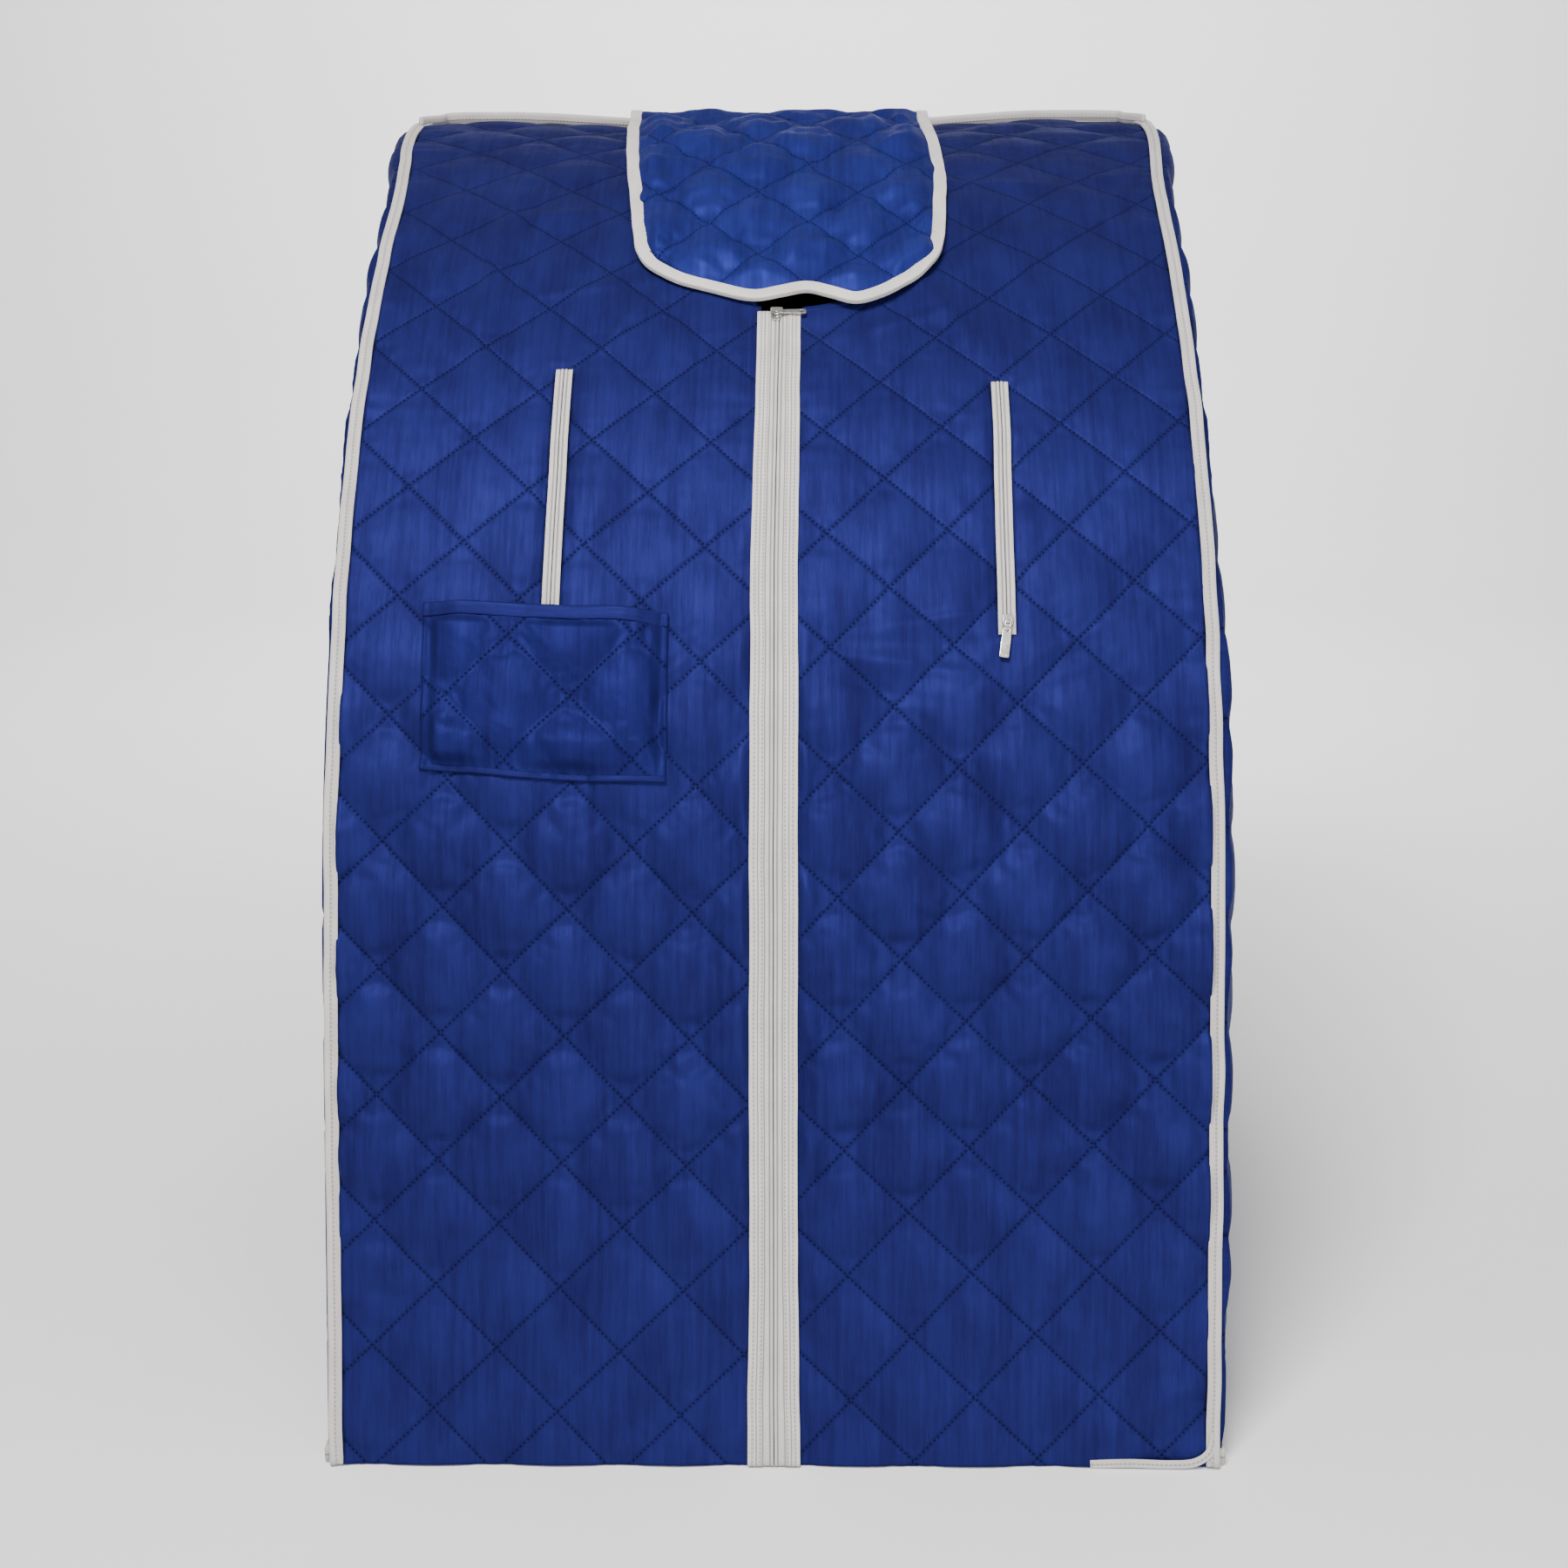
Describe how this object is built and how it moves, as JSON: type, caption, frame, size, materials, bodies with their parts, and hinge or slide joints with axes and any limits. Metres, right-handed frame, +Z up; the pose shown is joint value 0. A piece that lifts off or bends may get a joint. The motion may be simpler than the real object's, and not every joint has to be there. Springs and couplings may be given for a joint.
{
  "type": "portable sauna",
  "caption": "Portable sit-in sauna tent of quilted fabric over a knock-down tube frame, with a zipped front, arm openings, a neck flap, a pocket and flat heater panels.",
  "frame": {"origin": "middle of the footprint, on the floor", "axes": "+Z up, the zipped front faces -Y, +X is on the right of someone who looks at the front"},
  "size_m": [0.714, 0.8518, 1.0393],
  "materials": {
    "cover_quilt": "satin",
    "flap_quilt": "satin",
    "pocket_quilt": "satin",
    "binding_tape": "matte",
    "zip_tape": "matte",
    "zip_coil": "satin",
    "zip_metal": "polished",
    "floor_cloth": "matte",
    "heater_cloth": "matte",
    "heater_rubber": "matte",
    "frame_tube": "satin",
    "corner_plastic": "matte",
    "ferrule_steel": "brushed",
    "box_plastic": "matte",
    "screw_steel": "satin",
    "pin_brass": "satin",
    "circuit_board": "satin",
    "rocker_plastic": "gloss"
  },
  "bodies": {
    "cover": {"arm_zip_teeth": "zip_coil", "control_box_cover": "box_plastic", "control_box_housing": "box_plastic", "control_box_screws": "screw_steel", "floor_panel": "floor_cloth", "foot_heater_pad": "heater_rubber", "front_floor_crossbar": "frame_tube", "left_arm_zip_tapes": "zip_tape", "left_bow_ferrule": "ferrule_steel", "left_bow_lower_tube": "frame_tube", "left_bow_upper_tube": "frame_tube", "left_floor_rail": "frame_tube", "left_front_floor_corner": "corner_plastic", "left_heater_panel": "heater_cloth", "left_rear_floor_corner": "corner_plastic", "left_rear_post": "frame_tube", "left_rear_top_corner": "corner_plastic", "left_seam_binding": "binding_tape", "left_side_panel": "cover_quilt", "neck_opening_binding": "binding_tape", "power_board": "circuit_board", "power_inlet": "box_plastic", "power_inlet_pins": "pin_brass", "power_switch_frame": "box_plastic", "rear_floor_crossbar": "frame_tube", "rear_heater_panel": "heater_cloth", "rear_panel": "cover_quilt", "rear_seam_binding": "binding_tape", "rear_top_crossbar": "frame_tube", "remote_pocket": "pocket_quilt", "right_arm_zip_tapes": "zip_tape", "right_bow_ferrule": "ferrule_steel", "right_bow_lower_tube": "frame_tube", "right_bow_upper_tube": "frame_tube", "right_floor_rail": "frame_tube", "right_front_floor_corner": "corner_plastic", "right_heater_panel": "heater_cloth", "right_rear_floor_corner": "corner_plastic", "right_rear_post": "frame_tube", "right_rear_top_corner": "corner_plastic", "right_seam_binding": "binding_tape", "right_side_panel": "cover_quilt", "top_panel": "cover_quilt", "upper_zip_tapes": "zip_tape", "upper_zip_teeth": "zip_coil"},
    "neck_flap": {"neck_flap_panel": "flap_quilt", "neck_flap_binding": "binding_tape"},
    "left_front": {"left_front_panel": "cover_quilt", "left_front_zip_tape": "zip_tape", "left_front_zip_teeth": "zip_coil"},
    "right_front": {"right_front_panel": "cover_quilt", "right_front_zip_tape": "zip_tape", "right_front_zip_teeth": "zip_coil"},
    "main_slider": {"main_zip_slider": "zip_metal"},
    "main_pull": {"main_zip_pull": "zip_metal"},
    "left_arm_slider": {"left_arm_zip_slider": "zip_metal", "left_arm_zip_pull": "zip_metal"},
    "right_arm_slider": {"right_arm_zip_slider": "zip_metal"},
    "right_arm_pull": {"right_arm_zip_pull": "zip_metal"},
    "rocker": {"power_switch_rocker": "rocker_plastic"}
  },
  "joints": [
    {"name": "neck_flap_fold", "type": "hinge", "parent": "cover", "child": "neck_flap", "pos_m": [0, 0.426, 1.03535], "axis": [-1, 0, 0], "range_deg": [0, 265]},
    {"name": "left_front_swing", "type": "hinge", "parent": "cover", "child": "left_front", "pos_m": [-0.342, -0.424, 0], "axis": [0, -0.2079, -0.9781], "range_deg": [0, 75]},
    {"name": "right_front_swing", "type": "hinge", "parent": "cover", "child": "right_front", "pos_m": [0.342, -0.424, 0], "axis": [0, 0.2079, 0.9781], "range_deg": [0, 75]},
    {"name": "main_zip_run", "type": "hinge", "parent": "cover", "child": "main_slider", "pos_m": [0, 0.44877, 0.22342], "axis": [-1, 0, 0], "range_deg": [-29.5, 0]},
    {"name": "main_pull_swivel", "type": "hinge", "parent": "main_slider", "child": "main_pull", "pos_m": [0, -0.03436, 0.87013], "axis": [0, -0.5985, 0.8011], "range_deg": [-90, 90]},
    {"name": "left_arm_zip_run", "type": "hinge", "parent": "cover", "child": "left_arm_slider", "pos_m": [0, 0.44877, 0.22342], "axis": [-1, 0, 0], "range_deg": [0, 16.1]},
    {"name": "right_arm_zip_run", "type": "hinge", "parent": "cover", "child": "right_arm_slider", "pos_m": [0, 0.44877, 0.22342], "axis": [-1, 0, 0], "range_deg": [0, 15.1]},
    {"name": "right_arm_pull_swing", "type": "hinge", "parent": "right_arm_slider", "child": "right_arm_pull", "pos_m": [0.186, -0.24428, 0.6449], "axis": [-1, 0, 0], "range_deg": [0, 150]},
    {"name": "power_switch", "type": "hinge", "parent": "cover", "child": "rocker", "pos_m": [0.216, 0.411, 0.118], "axis": [1, 0, 0], "range_deg": [-14, 0]}
  ]
}
